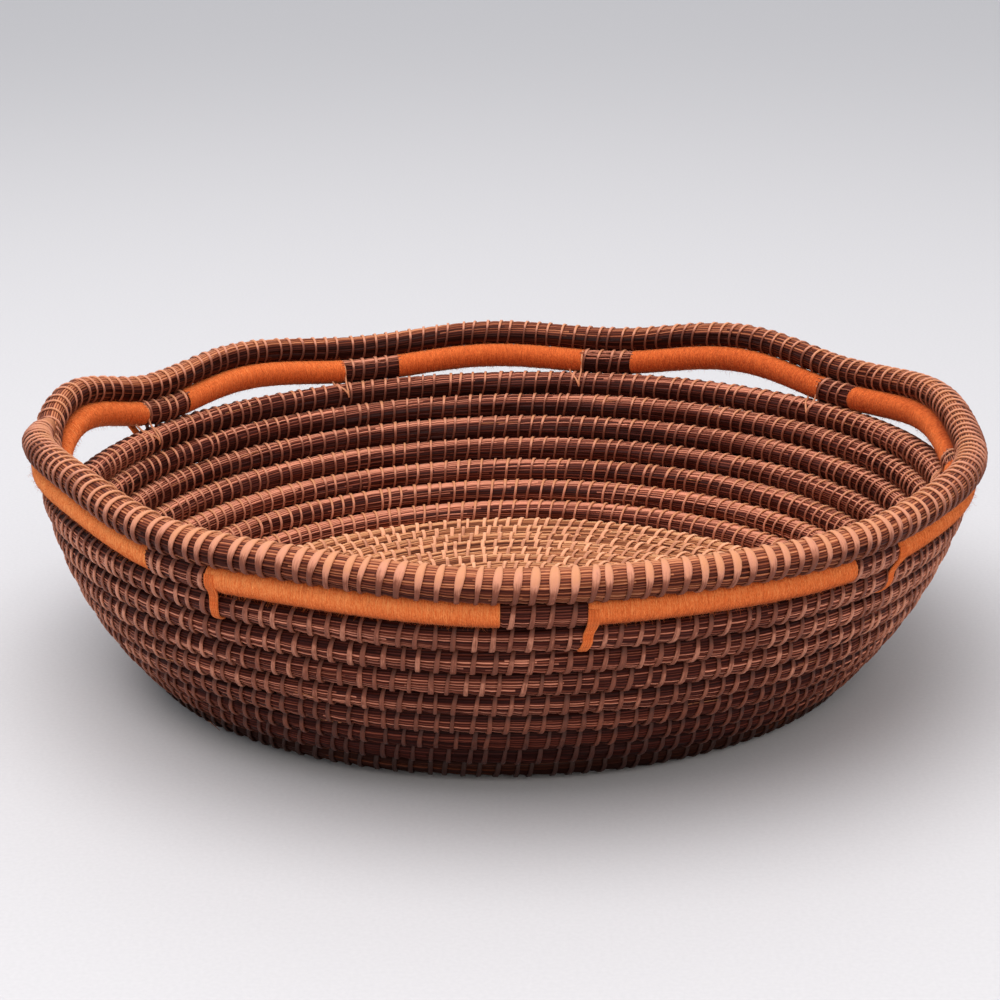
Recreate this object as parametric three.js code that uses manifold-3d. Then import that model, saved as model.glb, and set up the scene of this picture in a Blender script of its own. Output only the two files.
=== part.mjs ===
// A coiled pine needle basket: an open round bowl with a round of arched windows below its rim.
// Lengths are millimetres and angles are degrees, counted anticlockwise seen from above, from +X.
// +Z is up, and the origin is the middle of the flat underside.
// The camera of the photograph stands on the -Y side.
import * as THREE from 'three';
import { mergeVertices } from 'three/addons/utils/BufferGeometryUtils.js';
import Module from 'manifold-3d';

// The needle bundle
const floorPitch = 7.27;         // from one round to the next across the floor
const rimPitch = 7.6;            // the same at the rim, where the bundle is fatter
const bundleDiameter = 7.9;      // through the wall, where nothing presses it flat
const roundGap = 0.55;           // air and thread left between two rounds
const endGap = 0.3;              // between two lengths of the bundle that butt
const footFlat = 0.5;            // how deep the faces of floor and wall are pressed flat

// The bowl
const floorRounds = 13;
const lowerWallRounds = 4;       // a length of the coil to the middle of the wall
const upperWallRounds = 3;       // the length from there to the windows
const footBend = 1.1;            // rounds in which the floor turns up into the wall
const footAngle = 49.4;          // lean of the wall above the foot, from the floor
const wallAngle = 69;            // lean of the wall near the rim
const steepeningRounds = 7;      // rounds from the one lean to the other
const seamAngle = 181.5;         // where one kind of round gives way to the next
const loopSteps = 24;            // straight steps in a round of floor or wall
const seamStepAngle = 4.5;       // the short step on each side of the seam

// The basket is not quite round: what the wall near the rim leans more or less than that, side by side
const sideStep = 30;             // from one entry of the table to the next, the first being at +X
const sideLeans = [2.4, -3.3, -3.8, -5.9, -7, 4.4, 4.6, 8.5, 1.8, -3.8, -3.9, 0.3];

// The start of the coil
const knotRadius = 6.2;
const knotHeight = 6.9;
const knotCrown = 1.8;           // how far its top rounds over
const knotEdge = 0.5;            // bevel of the knot's foot
const knotGap = 0.4;             // to the first round that is wound on it
const knotSides = 20;
const startTipShare = 0.2;       // of the bundle's height, at its very start

// The windows
const windowRounds = 1;
const archHeight = 5.1;          // how far an arch of share 1 rises above the wall
const roundSides = 8;            // sides of the bundle in the window and rim rounds
const archSteps = 6;             // straight steps along a wrapped arch
const leastStep = 0.001;         // of a round, nearer to the seam than which no other step begins
const wrappedSqueeze = 0.75;     // how far the yarn draws the bundle in, all round
const shoulderLength = 1.2;      // along the bundle, from full to drawn in
const yarnClearance = 0.3;
const yarnThickness = 0.65;
const yarnEndGap = 0.3;          // between a wrap's end and the bundle's shoulder

// The tie stitch at one end of each wrap
const tieWidth = 2.2;
const tieThickness = 0.9;
const tieStandOff = 0.35;        // clear of the wall coil that it crosses
const tieProud = 0.3;            // how far it stands out from the wrap that it grows from
const tieTuckLength = 2.2;       // what dips into the groove under the wall's top round

// The rim
const rimRounds = 1;
const rimTailAngle = 9.5;        // how far it runs on past the seam, on top of its own start
const rimTaperAngle = 14;        // over which the last round thins out
const rimTipShare = 0.6;         // of the bundle's height, left at its very end

// Each window: the angles where its wrap starts and ends, and its arch's height in shares of archHeight
const windows = [
  { start: -4.4, end: 31.5, share: 0.5 },
  { start: 37.75, end: 70.25, share: 0.88 },
  { start: 77.5, end: 105.75, share: 0.43 },
  { start: 114, end: 143, share: 0.65 },
  { start: 151.75, end: 177, share: 1.26 },
  { start: 186, end: 228, share: 0.5 },
  { start: 237, end: 269.5, share: 0.1 },
  { start: 278, end: 309.75, share: 0.1 },
  { start: 317.25, end: 350.8, share: 0.21 },
];

// Colours and finishes, from the photograph
const needleBrown = new THREE.MeshStandardMaterial({ color: 0x5a3222, roughness: 0.72, metalness: 0 });
const floorTan = new THREE.MeshStandardMaterial({ color: 0x9a6242, roughness: 0.75, metalness: 0 });
const rimBrown = new THREE.MeshStandardMaterial({ color: 0x7a4a30, roughness: 0.7, metalness: 0 });
const orangeYarn = new THREE.MeshStandardMaterial({ color: 0xd9702f, roughness: 0.9, metalness: 0 });

const wallStart = floorRounds;
const upperWallStart = wallStart + lowerWallRounds;
const windowStart = upperWallStart + upperWallRounds;
const rimStart = windowStart + windowRounds;
const rimEnd = rimStart + rimRounds + rimTailAngle / 360;
const radians = THREE.MathUtils.degToRad;
const smooth = THREE.MathUtils.smoothstep;

// What the wall at one angle leans more or less than the others do, smoothly between the table's entries
function sideLean(angle) {
  const place = THREE.MathUtils.euclideanModulo(angle, 360) / sideStep;
  const index = Math.floor(place);
  const low = sideLeans[index];
  const high = sideLeans[(index + 1) % sideLeans.length];
  return THREE.MathUtils.lerp(low, high, smooth(place, index, index + 1));
}
// The lean of the bowl and the distance between rounds, at a place counted in rounds from the start
function lean(round, angle) {
  const foot = footAngle * smooth(round, floorRounds - footBend, floorRounds);
  const wall = (wallAngle - footAngle) * smooth(round, wallStart, wallStart + steepeningRounds);
  const side = sideLean(angle) * smooth(round, wallStart + 1, windowStart);
  return radians(foot + wall + side);
}
function pitch(round) {
  const climb = Math.max(0, round - wallStart) / (rimStart - wallStart);
  return floorPitch + (rimPitch - floorPitch) * climb;
}
const halfHeight = (round) => (pitch(round) - roundGap) / 2;
const flatReach = bundleDiameter / 2 - footFlat;

// The bowl's profile at an angle: the middle of the bundle, walked outwards from its start
// in short paces, as many to a round as the coil has steps
const windingRadius = knotRadius + knotGap;
const startRadius = windingRadius + (2 * startTipShare - 1) * halfHeight(0);
function profileAt(round, angle) {
  let radius = startRadius;
  let height = flatReach;
  for (let walked = 0; walked < round; walked += 1 / loopSteps) {
    const pace = Math.min(1 / loopSteps, round - walked);
    const tilt = lean(walked + pace / 2, angle);
    const length = pitch(walked + pace / 2) * pace;
    radius += Math.cos(tilt) * length;
    height += Math.sin(tilt) * length;
  }
  return { radius, height };
}

// The arches: a smooth hump over each window, from the middle of one joint to the middle of the next
const windowCount = windows.length;
windows.forEach((arch, index) => {
  const before = windows[(index + windowCount - 1) % windowCount];
  const after = windows[(index + 1) % windowCount];
  const beforeEnd = index > 0 ? before.end : before.end - 360;
  const afterStart = index < windowCount - 1 ? after.start : after.start + 360;
  arch.from = (beforeEnd + arch.start) / 2;
  arch.to = (arch.end + afterStart) / 2;
});
function archRise(angle) {
  const turned = windows[0].from + THREE.MathUtils.euclideanModulo(angle - windows[0].from, 360);
  const arch = windows.find((candidate) => turned < candidate.to) ?? windows[0];
  const share = (turned - arch.from) / (arch.to - arch.from);
  return archHeight * arch.share * (1 - Math.cos(2 * Math.PI * share)) / 2;
}

// A place on the coil: its middle, and the directions up the bowl and out of it.
// The coil climbs as the angle falls, clockwise seen from above.
const angleAt = (round) => seamAngle - 360 * round;
function station(round, wavy) {
  const angle = angleAt(round);
  const turn = radians(angle);
  const { radius, height } = profileAt(round, angle);
  const tilt = lean(round, angle);
  const outwards = new THREE.Vector3(Math.cos(turn), Math.sin(turn), 0);
  const upwards = new THREE.Vector3(0, 0, 1);
  const up = outwards.clone().multiplyScalar(Math.cos(tilt)).addScaledVector(upwards, Math.sin(tilt));
  const out = outwards.clone().multiplyScalar(Math.sin(tilt)).addScaledVector(upwards, -Math.cos(tilt));
  const middle = outwards.clone().multiplyScalar(radius).addScaledVector(upwards, height);
  const along = new THREE.Vector3(Math.sin(turn), -Math.cos(turn), 0);
  if (wavy) {
    middle.addScaledVector(up, archRise(angle));
  }
  return { round, angle, middle, up, out, along };
}

// Sections across the bundle, as points up and out of the bowl.
// Six sides lie flat on the inside and the outside, with an edge towards each neighbour.
function sixSides(high, thick) {
  const outside = [[high / 2, thick], [-high / 2, thick]];
  const inside = [[-high / 2, -thick], [high / 2, -thick]];
  return [[high, 0], ...outside, [-high, 0], ...inside];
}
function eightSides(high, thick) {
  const corners = [];
  for (let corner = 0; corner < roundSides; corner += 1) {
    const turn = (corner + 0.5) * 2 * Math.PI / roundSides;
    const reach = 1 / Math.cos(Math.PI / roundSides);
    corners.push([high * reach * Math.cos(turn), thick * reach * Math.sin(turn)]);
  }
  return corners;
}
function pointAt(place, up, out) {
  return place.middle.clone().addScaledVector(place.up, up).addScaledVector(place.out, out);
}
function ring(place, section) {
  return section.map(([up, out]) => pointAt(place, up, out));
}

// A closed body from rings of points: its sides, and a flat cap on each end
function addBand(faces, first, second, count) {
  for (let corner = 0; corner < count; corner += 1) {
    const next = (corner + 1) % count;
    faces.push(first + corner, second + next, first + next);
    faces.push(first + corner, second + corner, second + next);
  }
}
function bodyGeometry(points, faces) {
  const geometry = new THREE.BufferGeometry();
  const coordinates = points.flatMap((point) => point.toArray());
  geometry.setAttribute('position', new THREE.Float32BufferAttribute(coordinates, 3));
  geometry.setIndex(faces);
  return geometry;
}
function tubeGeometry(rings) {
  const count = rings[0].length;
  const faces = [];
  for (let index = 0; index + 1 < rings.length; index += 1) {
    addBand(faces, index * count, (index + 1) * count, count);
  }
  const end = (rings.length - 1) * count;
  for (let corner = 1; corner + 1 < count; corner += 1) {
    faces.push(0, corner, corner + 1);
    faces.push(end, end + corner + 1, end + corner);
  }
  return bodyGeometry(rings.flat(), faces);
}
// The same with a bore: an outer and an inner ring at each place, and a flat ring on each end
function sleeveGeometry(outerRings, innerRings) {
  const count = outerRings[0].length;
  const inner = outerRings.length * count;
  const end = (outerRings.length - 1) * count;
  const faces = [];
  for (let index = 0; index + 1 < outerRings.length; index += 1) {
    addBand(faces, index * count, (index + 1) * count, count);
    addBand(faces, inner + (index + 1) * count, inner + index * count, count);
  }
  addBand(faces, inner, 0, count);
  addBand(faces, end, inner + end, count);
  return bodyGeometry([...outerRings.flat(), ...innerRings.flat()], faces);
}

// The rounds' places. Floor and wall share one set of angles, with a short straight step at each end.
function loopPlaces(first, last) {
  const longStep = (360 - 2 * seamStepAngle) / (loopSteps - 2);
  const places = [];
  for (let loop = first; loop < last; loop += 1) {
    places.push(loop);
    for (let step = 0; step < loopSteps - 1; step += 1) {
      places.push(loop + (seamStepAngle + longStep * step) / 360);
    }
  }
  places.push(last);
  return places;
}
// The place in the last rounds that lies at an angle
const roundAtAngle = (loop, angle) => {
  const climbed = THREE.MathUtils.euclideanModulo(seamAngle - angle, 360);
  return loop + climbed / 360;
};
function arcShare(length, round) {
  const { radius } = profileAt(round, angleAt(round));
  return length / (2 * Math.PI * radius);
}

// The places along one window: the joint at its higher angle, both shoulders and the arch between them
function archPlaces(loop, arch) {
  const first = roundAtAngle(loop, arch.end);
  const last = roundAtAngle(loop, arch.start);
  const shoulder = arcShare(shoulderLength, loop);
  const places = [{ round: first, wrapped: false }];
  for (let step = 0; step <= archSteps; step += 1) {
    const share = step / archSteps;
    places.push({ round: first + shoulder + (last - first - 2 * shoulder) * share, wrapped: true });
  }
  places.push({ round: last, wrapped: false });
  return places;
}
// The places of one whole wavy round, in their order along the coil
function wavyPlaces(loop) {
  const joints = windows.map(({ from }) => ({ round: roundAtAngle(loop, from), wrapped: false }));
  const places = [...joints, ...windows.flatMap((arch) => archPlaces(loop, arch))];
  const between = places.filter(({ round }) => round > loop + leastStep && round < loop + 1 - leastStep);
  between.sort((first, second) => first.round - second.round);
  return [{ round: loop, wrapped: false }, ...between, { round: loop + 1, wrapped: false }];
}
// Each length is cut back a little at both ends, where it butts on the next
function trimmed(round, first, last) {
  const cut = arcShare(endGap / 2, round);
  return THREE.MathUtils.clamp(round, first + cut, last - cut);
}

const group = new THREE.Group();
function addPiece(name, geometry, material) {
  geometry.computeVertexNormals();
  const mesh = new THREE.Mesh(geometry, material);
  mesh.name = name;
  group.add(mesh);
  return mesh;
}

// The start knot, a small bound button with a bevelled foot and a low crown
function makeStartKnot() {
  const shoulderHeight = knotHeight - knotCrown;
  const crown = new THREE.EllipseCurve(0, shoulderHeight, knotRadius, knotCrown, 0, Math.PI / 2);
  const outline = [
    new THREE.Vector2(0, 0),
    new THREE.Vector2(knotRadius - knotEdge, 0),
    new THREE.Vector2(knotRadius, knotEdge),
    ...crown.getPoints(4),
  ];
  const geometry = new THREE.LatheGeometry(outline, knotSides);
  geometry.rotateX(Math.PI / 2);
  return geometry;
}

// Floor and wall: six sided coil, thin where its start is wound on the knot.
// Nothing reaches lower than the surface that the basket stands on.
function pressedFlat(point) {
  return new THREE.Vector3(point.x, point.y, Math.max(point.z, 0));
}
function makeLoops(first, last) {
  const rings = loopPlaces(first, last).map((place) => {
    const round = trimmed(place, first, last);
    const high = halfHeight(round);
    const { radius } = profileAt(round, angleAt(round));
    const share = Math.min(1, (radius + high - windingRadius) / (2 * high));
    const section = sixSides(high, flatReach).map(([up, out]) => [high - share * (high - up), out]);
    return ring(station(round, false), section).map(pressedFlat);
  });
  return { rings, geometry: tubeGeometry(rings) };
}

const floorCoil = makeLoops(0, wallStart);
const lowerWallCoil = makeLoops(wallStart, upperWallStart);
const upperWallCoil = makeLoops(upperWallStart, windowStart);
addPiece('start_knot', makeStartKnot(), floorTan);
addPiece('floor_coil', floorCoil.geometry, floorTan);
addPiece('lower_wall_coil', lowerWallCoil.geometry, needleBrown);
addPiece('upper_wall_coil', upperWallCoil.geometry, needleBrown);

// The window coil: full at the joints and drawn in where yarn is wound round it
const windowRings = wavyPlaces(windowStart).map(({ round, wrapped }) => {
  const place = trimmed(round, windowStart, rimStart);
  const squeeze = wrapped ? wrappedSqueeze : 0;
  const section = eightSides(halfHeight(place) - squeeze, bundleDiameter / 2 - squeeze);
  return ring(station(place, true), section);
});
addPiece('window_coil', tubeGeometry(windowRings), needleBrown);

// The rim coil: the last round and its tail, thinning to its end on top of its own start
const tailPlaces = wavyPlaces(rimStart + rimRounds).filter(({ round }) => round < rimEnd);
const rimPlaces = [...wavyPlaces(rimStart).slice(0, -1), ...tailPlaces, { round: rimEnd }];
const rimRings = rimPlaces.map(({ round }) => {
  const place = trimmed(round, rimStart, rimEnd);
  const thin = Math.min(1, (rimEnd - place) * 360 / rimTaperAngle);
  const share = rimTipShare + (1 - rimTipShare) * thin;
  const high = halfHeight(place);
  const full = eightSides(high, bundleDiameter / 2);
  const section = full.map(([up, out]) => [share * (up + high) - high, out * share]);
  return ring(station(place, true), section);
});
addPiece('rim_coil', tubeGeometry(rimRings), rimBrown);

// Yarn wraps and their ties
const { Manifold, Mesh: SolidMesh } = await loadManifold();
async function loadManifold() {
  const library = await Module();
  library.setup();
  return library;
}
function toSolid(geometry) {
  const bare = geometry.clone();
  bare.deleteAttribute('normal');
  bare.deleteAttribute('uv');
  const merged = mergeVertices(bare, 1e-4);
  const vertProperties = new Float32Array(merged.attributes.position.array);
  const triVerts = new Uint32Array(merged.index.array);
  return new Manifold(new SolidMesh({ numProp: 3, vertProperties, triVerts }));
}
function fromSolid(solid) {
  const mesh = solid.getMesh();
  const geometry = new THREE.BufferGeometry();
  const coordinates = new Float32Array(mesh.vertProperties);
  geometry.setAttribute('position', new THREE.BufferAttribute(coordinates, mesh.numProp));
  geometry.setIndex(new THREE.BufferAttribute(new Uint32Array(mesh.triVerts), 1));
  return geometry;
}

// The wound yarn, a sleeve on the drawn in part of the bundle
function makeSleeve(arch) {
  const wrappedPlaces = archPlaces(windowStart, arch).filter(({ wrapped }) => wrapped);
  const places = wrappedPlaces.map(({ round }) => round);
  const cut = arcShare(yarnEndGap, windowStart);
  places[0] += cut;
  places[places.length - 1] -= cut;
  const rings = (grown) => places.map((round) => {
    const section = eightSides(halfHeight(round) + grown, bundleDiameter / 2 + grown);
    return ring(station(round, true), section);
  });
  const bore = yarnClearance - wrappedSqueeze;
  return sleeveGeometry(rings(bore + yarnThickness), rings(bore));
}

// The wall is made of straight steps, so a tie lies against the straight that it crosses
function wallStation(round) {
  const places = loopPlaces(wallStart, windowStart);
  const next = places.findIndex((place) => place > round);
  const low = station(places[next - 1], false);
  const high = station(places[next], false);
  const share = (round - low.round) / (high.round - low.round);
  const here = station(round, false);
  here.middle = low.middle.lerp(high.middle, share);
  return here;
}

// A strap of even thickness along a bent line, as an outline
function strapOutline(line, thickness) {
  const side = (sign) => line.map((point, index) => {
    const before = line[Math.max(index - 1, 0)];
    const after = line[Math.min(index + 1, line.length - 1)];
    const first = point.clone().sub(before).normalize();
    const second = after.clone().sub(point).normalize();
    const steps = [first, second].filter((step) => step.lengthSq() > 0);
    const normals = steps.map((step) => new THREE.Vector2(-step.y, step.x));
    const sum = normals.reduce((total, normal) => total.add(normal), new THREE.Vector2());
    const mitre = sum.multiplyScalar(sign * thickness * normals.length / 2 / sum.lengthSq());
    return point.clone().add(mitre);
  });
  return new THREE.Shape([...side(1), ...side(-1).reverse()]);
}

// One leg of a tie: out of the wrap, down over the wall's top round and into the groove under it.
// Side is 1 outside the bowl and -1 inside.
function makeTieLeg(arch, side) {
  const inset = shoulderLength + yarnEndGap + tieWidth / 2;
  const round = roundAtAngle(windowStart, arch.start) - arcShare(inset, windowStart);
  const onWrap = station(round, true);
  const onWall = wallStation(round - 1);
  const turn = radians(onWrap.angle);
  const outwards = new THREE.Vector3(Math.cos(turn), Math.sin(turn), 0);
  const flat = (place, up, out) => {
    const point = pointAt(place, up, out * side);
    return new THREE.Vector2(point.dot(outwards), point.z);
  };
  const high = halfHeight(onWall.round);
  const reach = flatReach + tieStandOff + tieThickness / 2;
  const yarnOutside = bundleDiameter / 2 + yarnClearance - wrappedSqueeze + yarnThickness;
  const wrapReach = yarnOutside + tieProud - tieThickness / 2;
  const slope = new THREE.Vector2(high / 2, flatReach).normalize();
  const corner = (reach - flatReach) * (1 - slope.x) / slope.y;
  const edgeUp = -high / 2 - (reach - flatReach) * slope.y;
  const edgeOut = flatReach + (reach - flatReach) * slope.x;
  const line = [
    flat(onWrap, 0, wrapReach),
    flat(onWall, high / 2, reach),
    flat(onWall, -high / 2 - corner, reach),
    flat(onWall, edgeUp - tieTuckLength * slope.x, edgeOut - tieTuckLength * slope.y),
  ];
  const shape = strapOutline(line, tieThickness);
  const geometry = new THREE.ExtrudeGeometry(shape, { depth: tieWidth, bevelEnabled: false });
  geometry.translate(0, 0, -tieWidth / 2);
  const basis = new THREE.Matrix4().makeBasis(outwards, new THREE.Vector3(0, 0, 1), onWrap.along);
  return geometry.applyMatrix4(basis);
}

windows.forEach((arch, index) => {
  const sleeve = toSolid(makeSleeve(arch));
  const outerLeg = toSolid(makeTieLeg(arch, 1));
  const innerLeg = toSolid(makeTieLeg(arch, -1));
  const wrap = sleeve.add(outerLeg).add(innerLeg);
  addPiece(`window_wrap_${index + 1}`, fromSolid(wrap), orangeYarn);
});

// The least gap of a coil to itself, between points of rings that lie at least half a loop apart
function leastGap(rings, stepsApart) {
  let least = Infinity;
  for (let first = 0; first < rings.length; first += 1) {
    for (let second = first + stepsApart; second < rings.length; second += 1) {
      for (const point of rings[first]) {
        for (const other of rings[second]) {
          least = Math.min(least, point.distanceTo(other));
        }
      }
    }
  }
  return least;
}
const coils = {
  'floor coil': floorCoil.rings,
  'lower wall coil': lowerWallCoil.rings,
  'upper wall coil': upperWallCoil.rings,
  'window coil': windowRings,
  'rim coil': rimRings,
};
Object.entries(coils).forEach(([name, rings]) => {
  console.log(`${name}, least gap to itself ${leastGap(rings, loopSteps / 2).toFixed(2)} mm`);
});

export default group;
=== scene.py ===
# %% [markdown]
# # A coiled pine needle basket
# This basket is one long bundle of dry pine needles, wound round and round and sewn to itself.
# The lesson builds it the way a maker does: first the line that the bundle follows, then the needles
# along that line, then every stitch, and last the orange yarn on the arches below the rim.
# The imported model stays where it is, and the sizes here follow it. Lengths are in metres, angles in
# degrees, and whatever is called a turn in radians.
# %% Load the frame
import math

import bpy
import numpy as np
from mathutils import Matrix, Vector


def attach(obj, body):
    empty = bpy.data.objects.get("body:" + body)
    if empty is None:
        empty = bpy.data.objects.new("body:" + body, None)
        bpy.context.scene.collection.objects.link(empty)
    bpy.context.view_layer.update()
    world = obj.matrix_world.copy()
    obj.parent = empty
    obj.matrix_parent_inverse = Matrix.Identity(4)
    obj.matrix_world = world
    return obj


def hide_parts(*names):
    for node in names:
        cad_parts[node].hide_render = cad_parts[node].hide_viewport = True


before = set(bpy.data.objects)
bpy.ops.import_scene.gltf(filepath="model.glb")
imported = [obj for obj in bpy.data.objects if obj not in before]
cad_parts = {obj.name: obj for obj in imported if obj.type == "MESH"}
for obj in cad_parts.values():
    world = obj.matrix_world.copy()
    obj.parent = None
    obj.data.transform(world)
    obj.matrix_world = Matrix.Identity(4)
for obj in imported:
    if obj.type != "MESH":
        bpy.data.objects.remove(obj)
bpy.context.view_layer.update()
MM = 0.001
print("nodes to dress:", ", ".join(sorted(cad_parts)))

# %% [markdown]
# ## The line of the coil
# A coil can be drawn as a spline through many points, but then every later step has to measure it again.
# Here a place on the coil is one number instead: how many rounds have been wound to get there. The bowl
# leans outwards by an angle that changes smoothly from floor to wall to rim. A basket made by hand isn't
# quite round, so the wall leans a few degrees more or less on each side, as a table says.
# %% Sizes of the coil
FLOOR_PITCH = 7.27 * MM
RIM_PITCH = 7.6 * MM
BUNDLE_DIAMETER = 7.9 * MM
ROUND_GAP = 0.55 * MM
FOOT_FLAT = 0.5 * MM
FLAT_REACH = BUNDLE_DIAMETER / 2 - FOOT_FLAT
FLOOR_ROUNDS = 13
FOOT_BEND_ROUNDS = 1.1
FOOT_ANGLE = 49.4
WALL_ANGLE = 69
STEEPENING_ROUNDS = 7
SEAM_ANGLE = 181.5
SIDE_STEP = 30
# How much more or less the wall leans, every SIDE_STEP degrees round the bowl.
SIDE_LEANS = np.array([2.4, -3.3, -3.8, -5.9, -7, 4.4, 4.6, 8.5, 1.8, -3.8, -3.9, 0.3])
KNOT_RADIUS = 6.2 * MM
KNOT_HEIGHT = 6.9 * MM
START_TIP_SHARE = 0.2
WINDING_RADIUS = KNOT_RADIUS + 0.4 * MM
WALL_START = FLOOR_ROUNDS
UPPER_WALL_START = WALL_START + 4
WINDOW_START = UPPER_WALL_START + 3
RIM_START = WINDOW_START + 1
RIM_TAIL_ANGLE = 6
RIM_END = RIM_START + 1 + RIM_TAIL_ANGLE / 360


def smoothstep(value, low, high):
    share = np.clip((value - low) / (high - low), 0, 1)
    return share * share * (3 - 2 * share)


def side_lean(angles):
    place = (angles % 360) / SIDE_STEP
    low = place.astype(int)
    share = smoothstep(place - low, 0, 1)
    count = len(SIDE_LEANS)
    return SIDE_LEANS[low % count] * (1 - share) + SIDE_LEANS[(low + 1) % count] * share


def lean(rounds, angles):
    foot = FOOT_ANGLE * smoothstep(rounds, FLOOR_ROUNDS - FOOT_BEND_ROUNDS, FLOOR_ROUNDS)
    wall = (WALL_ANGLE - FOOT_ANGLE) * smoothstep(rounds, WALL_START, WALL_START + STEEPENING_ROUNDS)
    side = side_lean(angles) * smoothstep(rounds, WALL_START + 1, WINDOW_START)
    return np.radians(foot + wall + side)


def pitch(rounds):
    climb = np.maximum(0, rounds - WALL_START) / (RIM_START - WALL_START)
    return FLOOR_PITCH + (RIM_PITCH - FLOOR_PITCH) * climb


def half_height(rounds):
    return (pitch(rounds) - ROUND_GAP) / 2


print(f"{RIM_END:.2f} rounds, {FLOOR_PITCH / MM:.1f} to {RIM_PITCH / MM:.1f} mm apart")

# %% [markdown]
# ## Walking the profile
# Adding up short paces along the lean gives the radius and the height of every round. The lean depends on the
# side too, so the walk is done for every third degree at once, and the results are kept in two tables.
# %% Tables of radius and height
PACES = 100
TABLE_STEP = 3
pace_ends = np.arange(int((RIM_END + 1) * PACES)) / PACES
pace_middles = (pace_ends[:-1] + pace_ends[1:]) / 2
table_angles = np.arange(0, 360 + TABLE_STEP, TABLE_STEP)[:, None]
table_leans = lean(pace_middles[None], table_angles)


def walked(shares, start):
    paces = shares * pitch(pace_middles) / PACES
    return start + np.pad(np.cumsum(paces, axis=1), ((0, 0), (1, 0)))


start_radius = WINDING_RADIUS + (2 * START_TIP_SHARE - 1) * half_height(0)
table_radius = walked(np.cos(table_leans), start_radius)
table_height = walked(np.sin(table_leans), FLAT_REACH)


def profile(table, rounds, angles):
    """A value read between the entries of a table."""
    column, row = (angles % 360) / TABLE_STEP, rounds * PACES
    left = np.minimum(column.astype(int), table.shape[0] - 2)
    low = np.minimum(row.astype(int), table.shape[1] - 2)
    across, share = column - left, row - low
    near = table[left, low] * (1 - share) + table[left, low + 1] * share
    far = table[left + 1, low] * (1 - share) + table[left + 1, low + 1] * share
    return near * (1 - across) + far * across


def coil_angle(rounds):
    return SEAM_ANGLE - 360 * rounds


def coil_radius(rounds):
    return profile(table_radius, rounds, coil_angle(rounds))


for side in range(0, 360, 90):
    rim_radius = profile(table_radius, np.array([RIM_START + 0.5]), np.array([side]))[0]
    print(f"rim at {side} degrees: middle of the bundle {rim_radius / MM:.1f} mm from the axis")

# %% [markdown]
# ## The arches
# In the last two rounds the maker let the bundle hump up nine times, wrapped each hump in yarn and tied
# it down between. Each hump is a raised cosine, which leaves and meets the joints without a kink. Beside
# the rim's end, at the left of the photograph, the last rounds stand out a little, so that the end lies
# almost flush on them.
# %% The windows
ARCH_HEIGHT = 5.1 * MM
END_BULGE = 3.4 * MM
END_BULGE_ANGLE = 172
END_BULGE_BACKWARDS = 34
END_BULGE_FORWARDS = 17
# Where each window starts and ends, and its arch as a share of ARCH_HEIGHT.
WINDOWS = [
    (-4.4, 31.5, 0.5),
    (37.75, 70.25, 0.88),
    (77.5, 105.75, 0.43),
    (114, 143, 0.65),
    (151.75, 177, 1.26),
    (186, 228, 0.5),
    (237, 269.5, 0.1),
    (278, 309.75, 0.1),
    (317.25, 350.8, 0.21),
]
ends_before = [end for _, end, _ in WINDOWS[-1:] + WINDOWS[:-1]]
ends_before[0] -= 360
joints = [(before + start) / 2 for before, (start, _, _) in zip(ends_before, WINDOWS)]
joints.append(joints[0] + 360)


def arch_rise(angles):
    turned = joints[0] + (angles - joints[0]) % 360
    rise = np.zeros_like(turned)
    for low, high, (_, _, share) in zip(joints[:-1], joints[1:], WINDOWS):
        inside = (turned >= low) & (turned < high)
        hump = (1 - np.cos(2 * np.pi * (turned - low) / (high - low))) / 2
        rise = np.where(inside, ARCH_HEIGHT * share * hump, rise)
    return rise


def end_bulge(rounds, angles):
    """How far the last rounds stand out beside the rim's end."""
    aside = angles % 360 - END_BULGE_ANGLE
    beside = np.where(aside < 0, -aside / END_BULGE_BACKWARDS, aside / END_BULGE_FORWARDS)
    above = smoothstep(rounds, RIM_START - 2, RIM_START - 1)
    below = 1 - smoothstep(rounds, RIM_START + 0.2, RIM_START + 1)
    return END_BULGE * (1 - smoothstep(beside, 0, 1)) * above * below


def coil_places(rounds, wavy=False):
    """Middle of the bundle, and the directions up the bowl, out of it and along the coil."""
    rounds = np.asarray(rounds, float)
    angles = coil_angle(rounds)
    turn = np.radians(angles)
    tilt = lean(rounds, angles)[:, None]
    outwards = np.stack([np.cos(turn), np.sin(turn), 0 * turn], 1)
    upwards = np.array([[0.0, 0.0, 1.0]])
    up = outwards * np.cos(tilt) + upwards * np.sin(tilt)
    out = outwards * np.sin(tilt) - upwards * np.cos(tilt)
    radius = (profile(table_radius, rounds, angles) + end_bulge(rounds, angles))[:, None]
    height = profile(table_height, rounds, angles)[:, None]
    middle = outwards * radius + upwards * height
    if wavy:
        middle = middle + up * arch_rise(angles)[:, None]
    along = np.stack([np.sin(turn), -np.cos(turn), 0 * turn], 1)
    return middle, up, out, along


highest = max(share for _, _, share in WINDOWS) * ARCH_HEIGHT
print(f"{len(WINDOWS)} windows, the highest arch {highest / MM:.1f} mm")

# %% [markdown]
# ## The camera
# The photograph was taken from in front and a little above, about 66 cm away. A camera can be aimed with a
# constraint, but a fixed matrix says exactly where it is: one column each for right, up and backwards.
# %% Camera
CAMERA_DISTANCE = 0.66315
CAMERA_RISE = 18.031
CAMERA_TILT = -1.035
CAMERA_ROLL = 0.661
CAMERA_SIDE = -0.93 * MM
AIM_HEIGHT = 30 * MM
FOCAL_WIDTHS = 2.35364
SENSOR_WIDTH = 36
FAR_END = 20


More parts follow.
